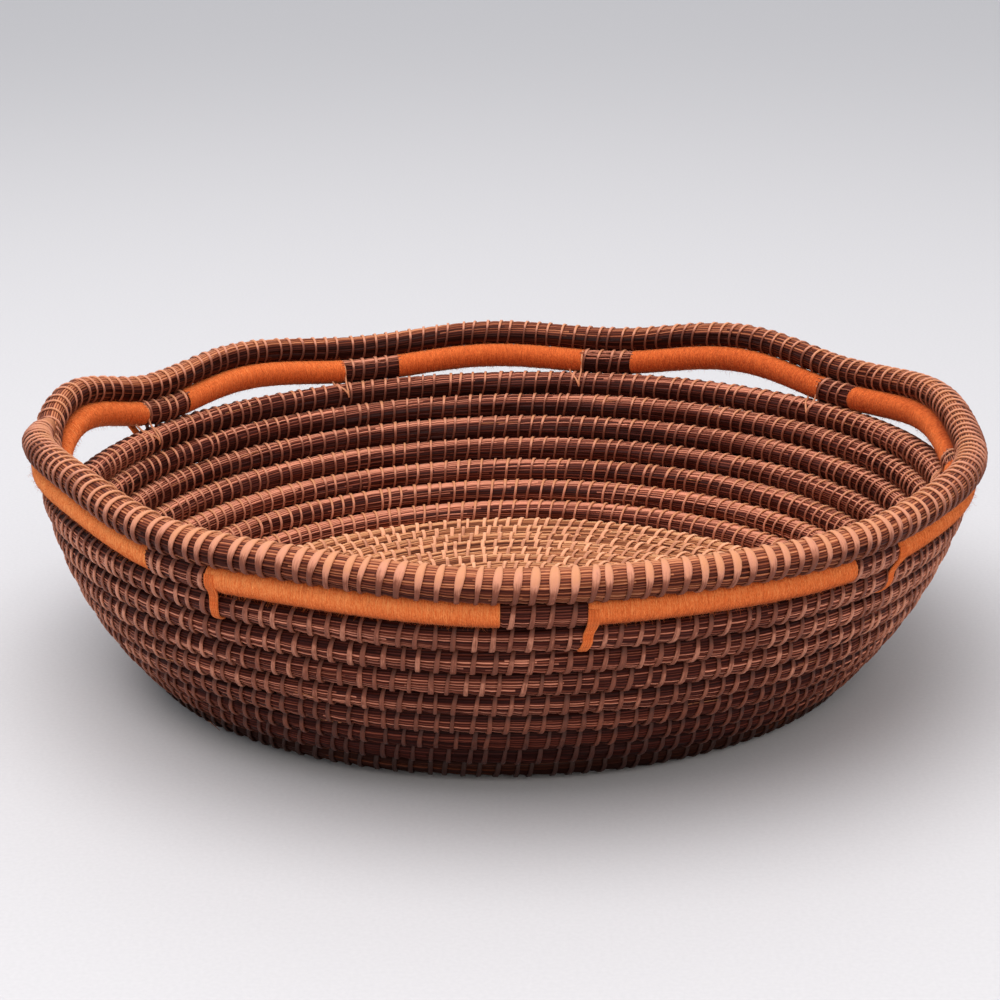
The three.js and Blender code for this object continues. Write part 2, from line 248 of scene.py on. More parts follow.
def make_camera():
    rise = math.radians(CAMERA_RISE)
    gaze = math.radians(CAMERA_RISE + CAMERA_TILT)
    roll = math.radians(CAMERA_ROLL)
    forward = Vector((0, math.cos(gaze), -math.sin(gaze)))
    level_up = Vector((0, math.sin(gaze), math.cos(gaze)))
    level_right = Vector((1, 0, 0))
    up = level_up * math.cos(roll) + level_right * math.sin(roll)
    right = level_right * math.cos(roll) - level_up * math.sin(roll)
    turn = Matrix((right, up, -forward)).transposed().to_4x4()
    back, lift = CAMERA_DISTANCE * math.cos(rise), CAMERA_DISTANCE * math.sin(rise)
    lens = bpy.data.cameras.new("camera")
    lens.sensor_width = SENSOR_WIDTH
    lens.lens = FOCAL_WIDTHS * SENSOR_WIDTH
    lens.clip_end = FAR_END
    camera = bpy.data.objects.new("camera", lens)
    camera.matrix_world = Matrix.Translation((CAMERA_SIDE, -back, AIM_HEIGHT + lift)) @ turn
    bpy.context.scene.collection.objects.link(camera)
    bpy.context.scene.camera = camera
    print(f"camera: {lens.lens:.1f} mm lens, {AIM_HEIGHT + lift:.3f} m above the table")


make_camera()

# %% [markdown]
# ## Meshes from grids of points
# Needles, thread and yarn are all tubes, thousands of them. A curve object with a bevel would draw one tube
# each and cost a lot of memory. Every tube here is a grid of points instead, rings by sides, and one
# function turns a whole stack of equal tubes into one mesh. Each corner also gets a pair of numbers, how far
# along and how far round, so that the materials can follow the fibres.
# %% Tube meshes
def unit(vectors):
    return vectors / np.linalg.norm(vectors, axis=-1, keepdims=True)


def square_to(vectors, way):
    """Unit vectors at right angles to way, each as near to its own vector as can be."""
    return unit(vectors - (vectors * way).sum(-1, keepdims=True) * way)


def evenly_round(count, shift=0):
    """Turns of a number of points spaced evenly round a tube."""
    return 2 * np.pi * (np.arange(count) + shift) / count


def tube_faces(tubes, rings, sides, looped):
    """Corner numbers of the faces of equal tubes, quads first and then the end caps."""
    spans = rings if looped else rings - 1
    tube, ring, side = np.meshgrid(np.arange(tubes), np.arange(spans), np.arange(sides), indexing="ij")
    next_ring = (ring + 1) % rings
    next_side = (side + 1) % sides
    first = (tube * rings + ring) * sides
    second = (tube * rings + next_ring) * sides
    quads = np.stack([first + side, first + next_side, second + next_side, second + side], -1)
    if looped:
        return quads.reshape(-1, 4), np.zeros((0, sides), int)
    start = np.arange(tubes)[:, None] * rings * sides
    end = start + (rings - 1) * sides
    return quads.reshape(-1, 4), np.concatenate([start + np.arange(sides)[::-1], end + np.arange(sides)])


def tube_object(name, points, along, material, looped=False, tone=0.5):
    """One mesh from points[tube, ring, side]; along[tube, ring] is the length in metres to each ring."""
    tubes, rings, sides = points.shape[:3]
    quads, caps = tube_faces(tubes, rings, sides, looped)
    corners = np.concatenate([quads.ravel(), caps.ravel()])
    totals = np.concatenate([np.full(len(quads), 4), np.full(len(caps), sides)])
    mesh = bpy.data.meshes.new(name)
    mesh.vertices.add(points.size // 3)
    mesh.vertices.foreach_set("co", points.reshape(-1).astype(np.float32))
    mesh.loops.add(len(corners))
    mesh.loops.foreach_set("vertex_index", corners.astype(np.int32))
    mesh.polygons.add(len(totals))
    mesh.polygons.foreach_set("loop_start", (np.cumsum(totals) - totals).astype(np.int32))
    mesh.polygons.foreach_set("use_smooth", np.ones(len(totals), bool))
    lay_map(mesh, along, quads, caps, rings, sides, looped)
    layer = mesh.attributes.new("tone", "FLOAT", "POINT")
    tones = np.broadcast_to(tone, (tubes, rings, sides))
    layer.data.foreach_set("value", tones.reshape(-1).astype(np.float32))
    mesh.update(calc_edges=True)
    mesh.validate()
    mesh.materials.append(material)
    made = bpy.data.objects.new(name, mesh)
    bpy.context.scene.collection.objects.link(made)
    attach(made, "root")
    return made


def past_last(numbers, count):
    """What the numbers of a face lack where it closes a ring, so that they go on past the last one."""
    closes = numbers.max(1) - numbers.min(1) > 1
    return count * (closes[:, None] & (numbers == 0))


def lay_map(mesh, along, quads, caps, rings, sides, looped):
    """The fibre map: along in metres, and round the tube in sides, counted past the last side."""
    side = quads % sides
    around = side + past_last(side, sides)
    lengths = along.reshape(-1)[quads // sides]
    if looped:
        step = along[0, 1] - along[0, 0]
        lengths = lengths + past_last(quads // sides % rings, rings) * step
    cap_lengths = along.reshape(-1)[caps // sides]
    uv = np.stack([
        np.concatenate([lengths.ravel(), cap_lengths.ravel()]),
        np.concatenate([around.ravel(), (caps % sides).ravel()]),
    ], 1)
    layer = mesh.uv_layers.new(name="fibres")
    layer.data.foreach_set("uv", uv.reshape(-1).astype(np.float32))


print("tube meshes ready")

# %% [markdown]
# ## Shader sums
# A material's pattern is arithmetic. Wiring Math nodes by hand hides that, so a small class wraps a socket
# and turns Python's own operators into Math nodes: `1 - mask * 0.3` reads as what it does.
# %% A socket that can be added and multiplied
class Value:
    """An output of a shader node. Each operator used on it adds the Math node that does the sum."""

    def __init__(self, shader, socket):
        self.shader = shader
        self.socket = socket

    def maths(self, operation, first, second=0.0):
        node = self.shader.node("ShaderNodeMath", {"operation": operation}, {0: first, 1: second})
        return Value(self.shader, node.outputs[0])

    def __add__(self, other):
        return self.maths("ADD", self, other)

    def __radd__(self, other):
        return self.maths("ADD", other, self)

    def __sub__(self, other):
        return self.maths("SUBTRACT", self, other)

    def __rsub__(self, other):
        return self.maths("SUBTRACT", other, self)

    def __mul__(self, other):
        return self.maths("MULTIPLY", self, other)

    def __rmul__(self, other):
        return self.maths("MULTIPLY", other, self)

    def floor(self):
        return self.maths("FLOOR", self)

    def at_least(self, limit):
        return self.maths("MAXIMUM", self, limit)

    def ping_pong(self, scale):
        return self.maths("PINGPONG", self, scale)


class Shader:
    """A material, and the one way to add a node to it: type, settings, then values or links."""

    def __init__(self, name, roughness, specular=0.3):
        self.material = bpy.data.materials.new(name)
        self.material.use_nodes = True
        self.tree = self.material.node_tree
        self.surface = self.tree.nodes["Principled BSDF"]
        self.set_input("Roughness", roughness)
        self.set_input("Specular IOR Level", specular)

    def node(self, kind, settings=None, inputs=None):
        node = self.tree.nodes.new(kind)
        for name, value in (settings or {}).items():
            setattr(node, name, value)
        for key, value in (inputs or {}).items():
            self.feed(node.inputs[key], value)
        return node

    def feed(self, socket, value):
        if isinstance(value, Value):
            self.tree.links.new(value.socket, socket)
        else:
            socket.default_value = value

    def set_input(self, name, value):
        self.feed(self.surface.inputs[name], value)

    def read(self, kind, output, settings=None, inputs=None):
        return Value(self, self.node(kind, settings, inputs).outputs[output])

    def fibres(self):
        """Reads the fibre map: metres along the tube and sides round it."""
        place = self.read("ShaderNodeUVMap", "UV", {"uv_map": "fibres"})
        parts = self.node("ShaderNodeSeparateXYZ", None, {"Vector": place})
        self.along, self.around = (Value(self, parts.outputs[axis]) for axis in "XY")
        return self.along, self.around

    def fibre_noise(self, per_metre, per_side, detail=2.0, rough=0.5):
        place = self.point(self.along * per_metre, self.around * per_side)
        return self.noise(place, detail=detail, rough=rough)

    def tone(self):
        return self.read("ShaderNodeAttribute", "Fac", {"attribute_name": "tone"})

    def point(self, x, y, z=0.0):
        return self.read("ShaderNodeCombineXYZ", "Vector", None, {"X": x, "Y": y, "Z": z})

    def noise(self, place, scale=1.0, detail=2.0, rough=0.5):
        inputs = {"Vector": place, "Scale": scale, "Detail": detail, "Roughness": rough}
        return self.read("ShaderNodeTexNoise", "Fac", {"noise_dimensions": "3D"}, inputs)

    def random(self, place):
        return self.read("ShaderNodeTexWhiteNoise", "Value", {"noise_dimensions": "3D"}, {"Vector": place})

    def ramp(self, factor, stops):
        node = self.node("ShaderNodeValToRGB", None, {"Fac": factor})
        elements = node.color_ramp.elements
        while len(elements) < len(stops):
            elements.new(1.0)
        for element, (position, colour) in zip(elements, stops):
            element.position = position
            element.color = (*colour, 1.0)
        return Value(self, node.outputs["Color"])

    def bump(self, height, distance, strength=1.0):
        inputs = {"Height": height, "Distance": distance, "Strength": strength}
        self.set_input("Normal", self.read("ShaderNodeBump", "Normal", None, inputs))


print("shader sums ready")

# %% [markdown]
# ## Where the stitches go
# The maker sews over the bundle about every four millimetres, by eye. Even spacing along the coil's length
# gives the drifting, diagonal chains that show on the floor, and a small random error keeps it hand made.
# %% Length along the coil and stitch places
STITCH_SPACING = 4.2 * MM
STITCH_ERROR = 0.09 * STITCH_SPACING
pace_radius = coil_radius(pace_middles)
length_to = np.concatenate([[0], np.cumsum(2 * np.pi * pace_radius / PACES)])


def coil_length(rounds):
    return np.interp(rounds, pace_ends, length_to)


def rounds_at(lengths):
    return np.interp(lengths, length_to, pace_ends)


def stitch_rounds(first, last, rng):
    whole = coil_length(last) - coil_length(first)
    count = int(whole / STITCH_SPACING)
    lengths = (np.arange(count) + 0.5) / count * whole + rng.normal(0, STITCH_ERROR, count)
    return np.sort(rounds_at(coil_length(first) + lengths))


bundle_length = coil_length(RIM_END)
print(f"the bundle is {bundle_length:.1f} m long, about {bundle_length / STITCH_SPACING:.0f} stitches")

# %% [markdown]
# ## The needle bundle
# A smooth tube with a bump map would look like rope from close up, and its outline would be too clean. So
# the tube's own section has a ridge for each needle that lies on the outside, the ridges wander a little,
# and every stitch pinches the bundle. Where two rounds press on each other the grooves close. Each point
# also keeps a tone, and this tone paints light and shade on the needles. It is high inside, on the crown of a
# round, and on the rim in front, which is painted light. It is low outside between two rounds, on the lowest
# rounds in front and under the floor, which is painted shade.
# %% Bundle meshes
NEEDLES_ROUND = 32
NEEDLE_GROOVE = 0.27 * MM
GROOVE_UNEVENNESS = 0.4
NEEDLE_WANDER = 0.12 * MM
NEEDLE_SWAY = 0.35
STITCH_PINCH = 0.2 * MM
PRESSED_SHARE = 0.8
NEEDLE_TWIST_LENGTH = 1.4
SECTION_POWER = 0.94
FOOT_LIFT = 0.25 * MM
SQUEEZE_ALLOWANCE = 0.28 * MM
SWAY_RINGS = 9
GROOVE_RINGS = 14
WANDER_RINGS = 11
TIP_LEAN = 0.45
# Painted light and shade, as needle tones from 0 for the darkest: a lift adds, a shade takes a share away.
CROWN_TONE = 0.95
GROOVE_TONE = 0.15
NEAR_GROOVE_LIFT = 0.25
LOW_LIFT = 0.4
OUTER_TONE = 0.58
OUTER_CROWN_LIFT = 0.1
WALL_LIFT = 0.11
SIDE_LIFT = 0.2
LOW_SHADE = 0.85
LOW_SIDE_LIGHT = 0.5
BETWEEN_SHADE = 0.75
UNDER_SHADE = 0.85
RIM_HIGHLIGHT_LIFT = 0.29
LOW_ROUNDS = 4.6


def slow_noise(rng, rings, columns, spread):
    """Random numbers that change slowly from ring to ring, with a column of them for each ridge."""
    knots = rng.normal(size=(rings // spread + 3, columns))
    place = np.arange(rings) / spread
    low = place.astype(int)
    share = smoothstep(place - low, 0, 1)[:, None]
    return knots[low] * (1 - share) + knots[low + 1] * share


def rounded(value, power=SECTION_POWER):
    """Cosine or sine, flattened: below a power of 1 the oval section fills out towards a rectangle."""
    return np.sign(value) * np.abs(value) ** power


def nothing(rounds):
    return 0 * rounds


def core_sizes(rounds, wavy):
    """Half sizes of the bundle up the bowl and through its wall."""
    high = half_height(rounds) + SQUEEZE_ALLOWANCE
    thick = BUNDLE_DIAMETER / 2 if wavy else FLAT_REACH + SQUEEZE_ALLOWANCE
    return high, np.full_like(high, thick)


def on_knot(rounds, high, up):
    """Presses the underside of the first round flat against the knot that it is wound on."""
    share = np.minimum(1, (coil_radius(rounds) + high - WINDING_RADIUS) / (2 * high))[:, None]
    return high[:, None] - share * (high[:, None] - up)


def towards_camera(rounds, low, high):
    """0 to 1, as the coil comes round to the side that the photograph shows in front."""
    return smoothstep(-np.sin(np.radians(coil_angle(rounds))), low, high)


def painted_shading(rounds, turn):
    """A tone that paints light and shade; turn is 0 on the crown of the round and grows outwards."""
    rounds = rounds[:, None]
    crown, inside = np.cos(turn), -np.sin(turn)
    low = 1 - smoothstep(rounds, WALL_START, WALL_START + LOW_ROUNDS)
    on_rim = smoothstep(rounds, RIM_START - 0.1, RIM_START + 0.1)
    # Inside: painted shade under each round, deepest at the back, and painted light on the crown and low
    # down.
    groove = GROOVE_TONE + NEAR_GROOVE_LIFT * towards_camera(rounds, -0.9, -0.2)
    inner = groove + (CROWN_TONE - groove) * smoothstep(crown, -0.4, 0.7) + LOW_LIFT * low
    # Outside: painted light on the sides, and painted shade low down in front, between two rounds and under
    # the floor.
    sides = 1 - towards_camera(rounds, 0.45, 1)
    outer = OUTER_TONE + OUTER_CROWN_LIFT * crown + (WALL_LIFT + SIDE_LIFT * sides) * (1 - on_rim)
    outer = outer * (1 - low * (LOW_SHADE - LOW_SIDE_LIGHT * sides))
    sheltered = smoothstep(crown, 0.4, 0.85) + smoothstep(-crown, 0.7, 0.95)
    under = 1 - smoothstep(rounds, WALL_START - 0.1, WALL_START + 0.1)
    outer = outer * (1 - BETWEEN_SHADE * sheltered * (1 - on_rim)) * (1 - UNDER_SHADE * under)
    painted_tone = outer + (inner - outer) * smoothstep(inside, 0, 0.5)
    # Painted highlight on the top of the rim in front.
    rim_highlight = on_rim * towards_camera(rounds, 0.1, 0.9)
    return painted_tone + RIM_HIGHLIGHT_LIFT * rim_highlight * smoothstep(crown, 0.1, 0.9)


def thinned(share, up, out, high, thick):
    """Shrinks the section to a share of itself, against the outer upper side of the round below."""
    lie_low = (1 - share) * TIP_LEAN * high[:, None]
    lie_out = (1 - share) * TIP_LEAN * thick[:, None]
    return share * (up + high[:, None]) - high[:, None] - lie_low, share * out + lie_out


def bundle(name, first, last, stitches, material, rng, parts, wavy, shrink, thin):
    """One mesh for a length of the bundle, with a ring at each stitch and parts - 1 rings between two."""
    steps = np.diff(stitches)
    between = [stitches[:-1] + steps * part / parts for part in range(1, parts)]
    rounds = np.sort(np.concatenate([[first], stitches, *between, [last]]))
    pinched = np.isin(rounds, stitches)
    columns = 2 * NEEDLES_ROUND
    crest = np.arange(columns) % 2 == 0
    high, thick = (size - shrink(rounds) for size in core_sizes(rounds, wavy))
    sway = slow_noise(rng, len(rounds), columns, SWAY_RINGS) * NEEDLE_SWAY
    lengths = coil_length(rounds)
    turn = 2 * np.pi * ((np.arange(columns) + sway) / columns + lengths[:, None] / NEEDLE_TWIST_LENGTH)
    pressed = 1 - PRESSED_SHARE * np.cos(turn) ** 6
    uneven = 1 + GROOVE_UNEVENNESS * slow_noise(rng, len(rounds), columns, GROOVE_RINGS)
    depth = np.where(crest, 0, NEEDLE_GROOVE) * uneven * pressed
    depth = depth - NEEDLE_WANDER * slow_noise(rng, len(rounds), columns, WANDER_RINGS) * pressed
    depth = depth + np.where(pinched, STITCH_PINCH, 0)[:, None]
    up = rounded(np.cos(turn)) * (high[:, None] - depth)
    out = rounded(np.sin(turn)) * (thick[:, None] - depth)
    up = on_knot(rounds, high, up)
    if thin is not None:
        up, out = thinned(thin(rounds)[:, None], up, out, high, thick)
    middle, up_way, out_way, _ = (way[:, None] for way in coil_places(rounds, wavy))
    points = middle + up[..., None] * up_way + out[..., None] * out_way
    points[..., 2] = np.maximum(points[..., 2], FOOT_LIFT)
    made = tube_object(name, points[None], lengths[None], material, tone=painted_shading(rounds, turn)[None])
    print(f"{name}: {len(rounds)} rings of {columns} points")
    return made


# %% [markdown]
# ## Stitches
# Each stitch is a loop of thread round the bundle that dips through the row below. The thread climbs as it
# goes round, so it slants on the outside one way and on the inside the other. All stitches of a length of
# coil are one mesh, bent and varied by arrays of numbers.
# %% Stitch meshes
LOOP_POINTS = 18
THREAD_SIDES = 8
THREAD_THICKNESS = 0.55 * MM
THREAD_POWER = 0.6
STITCH_DIP = 1.3 * MM
STITCH_SLANT = 1.7 * MM
STITCH_BOW = 0.1 * MM
SLANT_ERROR = 0.15
WIDTH_ERROR = 0.1
THREAD_TONE = 0.07
TONE_SPREAD = 0.22
# The share of the needles' painted light and shade that a stitch takes, and painted shade on its outside.
PAINTED_TONE_SHARE = 0.65
OUTSIDE_SHADE = 0.17


def stitch_loops(rounds, turn, signed, rng, wavy, slant, dip, thin):
    """Middle lines of the loops, as up, out and forward from the bundle's, and the way out of it."""
    count = len(rounds)
    high, thick = core_sizes(rounds, wavy)
    stand = THREAD_THICKNESS * (0.25 + 0.1 * rng.random(count))
    up = rounded(np.cos(turn)) * (high + stand)[:, None]
    out = rounded(np.sin(turn)) * (thick + stand)[:, None]
    bottom = LOOP_POINTS // 2
    up[:, bottom] -= dip
    up = on_knot(rounds, high, up)
    if thin is not None:
        up, out = thinned(thin(rounds)[:, None], up, out, high, thick)
    slants = slant * (1 + SLANT_ERROR * rng.normal(size=count))
    drift = np.where(np.arange(LOOP_POINTS) == bottom, 0, signed / np.pi)
    bow = STITCH_BOW * rng.normal(size=count)
    forward = slants[:, None] * drift + bow[:, None] * np.cos(2 * turn)
    normal = np.stack([np.cos(turn) / high.mean(), np.sin(turn) / thick.mean(), 0 * turn], -1)
    return np.stack([up, out, forward], -1), normal


def thread_widths(rounds, turn, signed, rng, widths, swell):
    top, outer, inner = (width * MM for width in widths)
    face = np.where(signed >= 0, outer, inner)
    width = face + (top - face) * np.clip(np.cos(turn), 0, 1) ** 1.5
    width = width * (1 + WIDTH_ERROR * rng.normal(size=(len(rounds), 1)))
    return width * (1 + swell(rounds)[:, None] * np.clip(np.cos(turn - 0.25), 0, 1) ** 3)


def stitches_on(name, rounds, material, rng, widths, wavy=False, slant=STITCH_SLANT, dip=STITCH_DIP,
                thin=None, swell=nothing):
    """widths are the thread's at the top, outside and inside, in millimetres."""
    turn = evenly_round(LOOP_POINTS)
    signed = np.where(turn > np.pi, turn - 2 * np.pi, turn)
    path, normal = stitch_loops(rounds, turn, signed, rng, wavy, slant, dip, thin)
    way = unit(np.roll(path, -1, 1) - np.roll(path, 1, 1))
    normal = square_to(normal, way)
    across = np.cross(way, normal)
    width = thread_widths(rounds, turn, signed, rng, widths, swell)
    side = evenly_round(THREAD_SIDES, 0.5)
    sideways, outwards = rounded(np.cos(side), THREAD_POWER), rounded(np.sin(side), THREAD_POWER)
    tube = path[:, :, None] + (width / 2)[..., None, None] * sideways[:, None] * across[:, :, None]
    tube = tube + THREAD_THICKNESS / 2 * outwards[:, None] * normal[:, :, None]
    middle, up_way, out_way, along_way = coil_places(rounds, wavy)
    ways = np.stack([up_way, out_way, along_way], 1)
    points = middle[:, None, None] + np.einsum("nkse,nec->nksc", tube, ways)
    points[..., 2] = np.maximum(points[..., 2], 0)
    lengths = np.tile(turn * BUNDLE_DIAMETER / 2, (len(rounds), 1)) + rounds[:, None]
    # Own tone, dimmed in deep painted shade, plus the needles' painted light and shade, less painted shade
    # outside.
    painted_tone = painted_shading(rounds, turn[None])
    own = THREAD_TONE + TONE_SPREAD * rng.random((len(rounds), 1))
    tone = own * smoothstep(painted_tone, 0, 0.35) + PAINTED_TONE_SHARE * painted_tone - OUTSIDE_SHADE * np.clip(np.sin(turn), 0, 1)
    made = tube_object(name, points, lengths, material, looped=True, tone=tone[..., None])
    print(f"{name}: {len(rounds)} stitches")
    return made


# %% [markdown]
# ## Finishes
# Dry needles are brown, from nearly black to fox red, with a dull shine. Each needle gets its own tone and so
# does each stretch of it, because a needle is shorter than the coil and others take over. The two numbers
# that every corner carries, along and round, say which needle a point lies on, and how near its crest. Each
# crest gets a painted highlight, and the grooves between needles painted shade.
# %% Needle finish
NEEDLE_BUMP = 0.12 * MM
STRETCHES_PER_METRE = 23.0


def needle_finish(name, tones, shading_share):
    """The last argument is the share of the colour that follows the tone kept with each point, its painted
    light and shade.
    """
    shader = Shader(name, roughness=0.5, specular=0.1)
    along, around = shader.fibres()
    wander = shader.fibre_noise(22.0, 0.3, detail=1.0)
    strand = around * 0.5 + (wander - 0.5) * 0.5
    needle = (strand + 0.5).floor()
    crest = 1.0 - strand.ping_pong(0.5) * 2.0
    start = shader.random(shader.point(needle, 0.31))
    stretch = (along * STRETCHES_PER_METRE + start * 9.0).floor()
    own = shader.random(shader.point(needle, stretch))
    grain = shader.fibre_noise(80.0, 2.2, detail=3.0, rough=0.65)
    fine = shader.fibre_noise(12.0, 1.9, rough=0.6)
    lit = shader.tone()
    # Painted highlight along each needle's crest and painted shade in the grooves; more highlight where the
    # tone is high.
    streaks_and_crest_light = (own * 0.6 + grain * 0.25 + fine * 0.3) * (0.36 + crest * crest * 0.79)
    tone = streaks_and_crest_light * (1.0 - shading_share + lit * shading_share) + (lit - 0.8).at_least(0.0) * 0.35
    shader.set_input("Base Color", shader.ramp(tone, tones))
    shader.set_input("Roughness", 0.4 + grain * 0.3)
    shader.bump(crest * 1.2 + grain * 0.5 + fine * 0.4, NEEDLE_BUMP, 0.7)
    return shader.material


wall_needles = needle_finish("dark brown needles", [
    (0.06, (0.015, 0.0022, 0.0016)),
    (0.2, (0.065, 0.0115, 0.0075)),
    (0.36, (0.22, 0.057, 0.032)),
    (0.56, (0.7, 0.28, 0.18)),
], 0.85)
# A lighter copy of the needles, which paints the light from above; it finishes the floor, the knot and stray
# tips.
lit_needles = needle_finish("light brown needles", [
    (0.04, (0.02, 0.004, 0.002)),
    (0.16, (0.17, 0.045, 0.018)),
    (0.3, (0.52, 0.2, 0.09)),
    (0.5, (0.78, 0.4, 0.21)),
], 0.92)
rim_needles = needle_finish("rim needles", [
    (0.06, (0.015, 0.0025, 0.0018)),
    (0.2, (0.075, 0.0145, 0.0085)),
    (0.38, (0.25, 0.066, 0.03)),
    (0.64, (0.57, 0.225, 0.11)),
], 0.85)
print("needle finishes ready")

# %% [markdown]
# ## Thread and yarn
# The thread is flat and a little waxed, peach tan, with fine lines along it. On the floor a lighter copy of
# it paints the light from above, and the rim's end is bound with a darker, more orange one. The yarn is soft
# wool, so it gets no shine but a sheen, and painted speckles of light where its fibres catch it.
# %% Thread and yarn finishes
THREAD_BUMP = 0.1 * MM
YARN_BUMP = 0.2 * MM
YARN_SHEEN = 0.3


def thread_finish(name, tones):
    shader = Shader(name, roughness=0.5, specular=0.3)
    shader.fibres()
    lines = shader.fibre_noise(180.0, 2.6, detail=3.0, rough=0.6)
    patch = shader.fibre_noise(600.0, 0.7)
    # The tone kept with each stitch paints light and shade on the thread.
    tone = shader.tone() * 0.8 + lines * 0.3 + patch * 0.2 - 0.16
    shader.set_input("Base Color", shader.ramp(tone, tones))
    shader.set_input("Roughness", 0.4 + lines * 0.3)
    shader.bump(lines + patch * 0.4, THREAD_BUMP, 0.6)
    return shader.material


def yarn_finish(name, tones):
    shader = Shader(name, roughness=0.9, specular=0.12)
    shader.set_input("Sheen Weight", YARN_SHEEN)
    shader.set_input("Sheen Roughness", 0.45)
    shader.set_input("Sheen Tint", (1.0, 0.5, 0.22, 1.0))
    along, around = shader.fibres()
    twisted = shader.point(along * 420.0 + around * 0.5, around * 1.1)
    twist = shader.noise(twisted, detail=3.0, rough=0.7)
    speckle = shader.fibre_noise(1700.0, 2.4, rough=0.7)
    # The tone kept with each point paints light and shade on the yarn; the speckles paint glints of light.
    tone = twist * 0.4 + speckle * 0.42 + shader.tone() * 0.2
    shader.set_input("Base Color", shader.ramp(tone, tones))
    shader.bump(twist + speckle * 0.6, YARN_BUMP, 0.9)
    return shader.material


peach_thread = thread_finish("peach tan thread", [
    (0.12, (0.05, 0.012, 0.007)),
    (0.47, (0.2, 0.058, 0.031)),
    (0.62, (0.56, 0.235, 0.15)),
    (0.8, (0.56, 0.24, 0.12)),
])
# Lighter copy of the thread, for painted light on the floor and knot; its darkest stop is painted shade under
# the floor.
lit_thread = thread_finish("bleached thread", [
    (0.12, (0.025, 0.006, 0.003)),
    (0.38, (0.3, 0.1, 0.05)),
    (0.62, (0.78, 0.38, 0.22)),
    (1.0, (0.88, 0.5, 0.31)),
])
binding_thread = thread_finish("binding thread", [
    (0.25, (0.12, 0.03, 0.012)),
    (0.7, (0.42, 0.15, 0.06)),
    (1.0, (0.56, 0.21, 0.08)),
])
orange_wool = yarn_finish("orange wool", [
    (0.36, (0.3, 0.04, 0.009)),
    (0.53, (0.7, 0.15, 0.034)),
    (0.71, (0.9, 0.36, 0.12)),
])
print("thread and yarn finishes ready")

# %% [markdown]
# ## Floor and wall
# Floor, lower wall and upper wall are lengths of the same bundle. They differ in finish: the floor is sewn
# with broad pale thread, and its needles and thread are lighter copies that paint the light from above on it,
# and the wall is dark between thinner stitches.
# %% Sew the floor and the wall
def sew(node, first, last, needles, seed, widths, parts=3, wavy=False, shrink=nothing,
        thin=None, swell=nothing, thread=peach_thread):
    rng = np.random.default_rng(seed)
    places = stitch_rounds(first, last, rng)
    coil = bundle(node + "_needles", first, last, places, needles, rng, parts, wavy, shrink, thin)
    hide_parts(node)
    sewn = places[shrink(places) == 0]
    stitches_on(node + "_stitches", sewn, thread, rng, widths, wavy=wavy, thin=thin, swell=swell)


sew("floor_coil", 0, WALL_START, lit_needles, 11, (1.2, 1.2, 1.2), parts=2,
    thread=lit_thread)
sew("lower_wall_coil", WALL_START, UPPER_WALL_START, wall_needles, 12, (0.95, 1.2, 0.75))
sew("upper_wall_coil", UPPER_WALL_START, WINDOW_START, wall_needles, 13,
    (0.95, 1.25, 0.75))

# %% [markdown]
# ## The start knot
# The very beginning is a short bundle bent into a ring, with thread whipped round it through the hole.
# A ring is a tube whose end meets its start, so the same mesh function makes it.
# %% Start knot
KNOT_RINGS = 48
KNOT_WHIPS = 17
KNOT_SECTION = 2.9 * MM
KNOT_HOLE_ALLOWANCE = 0.1 * MM
KNOT_FOOT_ALLOWANCE = 0.35 * MM
KNOT_GROOVE = 0.8 * NEEDLE_GROOVE
WHIP_HALF_WIDTH = 0.5 * MM
WHIP_STAND = 0.12 * MM
WHIP_HALF_THICKNESS = 0.2 * MM
WHIP_RING_RADIUS = 3.4 * MM
WHIP_RING_REACH = 1.6 * MM
WHIP_ERROR = 0.15
WHIP_SLANT = 0.12


def knot_points(ring_turn, section_turn, reach):
    """Points of the ring: its section is as high as the knot and as wide as fits round a small hole."""
    ring_turn, section_turn, reach = np.broadcast_arrays(ring_turn, section_turn, reach)
    middle = KNOT_RADIUS - KNOT_SECTION - KNOT_HOLE_ALLOWANCE
    radius = middle + np.cos(section_turn) * (KNOT_SECTION + reach)
    half = KNOT_HEIGHT / 2 - KNOT_FOOT_ALLOWANCE
    height = KNOT_HEIGHT / 2 + np.sin(section_turn) * (half + reach)
    return np.stack([radius * np.cos(ring_turn), radius * np.sin(ring_turn), height], -1)


def make_knot_needles():
    columns = 2 * NEEDLES_ROUND
    ring_turn = evenly_round(KNOT_RINGS)
    groove = np.where(np.arange(columns) % 2 == 0, 0, -KNOT_GROOVE)
    points = knot_points(ring_turn[:, None], evenly_round(columns), groove)
    lengths = ring_turn[None] * KNOT_SECTION
    ring = tube_object("start_knot_needles", points[None], lengths, lit_needles, looped=True)
    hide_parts("start_knot")


def make_knot_stitches(rng):
    places = np.arange(KNOT_WHIPS) + WHIP_ERROR * rng.normal(size=KNOT_WHIPS)
    whip = (2 * np.pi * places / KNOT_WHIPS)[:, None, None]
    turn = evenly_round(LOOP_POINTS)[:, None]
    side = evenly_round(THREAD_SIDES, 0.5)
    aside = np.cos(side) * WHIP_HALF_WIDTH / (WHIP_RING_RADIUS + WHIP_RING_REACH * np.cos(turn))
    reach = WHIP_STAND + WHIP_HALF_THICKNESS * np.sin(side)
    whipped = knot_points(whip + aside + WHIP_SLANT * np.sin(turn), turn, reach)
    lengths = np.tile(turn[:, 0] * KNOT_SECTION, (KNOT_WHIPS, 1))
    threads = tube_object("start_knot_stitches", whipped, lengths, lit_thread, looped=True,
                          tone=0.6 + 0.4 * rng.random((KNOT_WHIPS, 1, 1)))
    print(f"start knot: {KNOT_WHIPS} whip stitches")


make_knot_needles()
make_knot_stitches(np.random.default_rng(10))

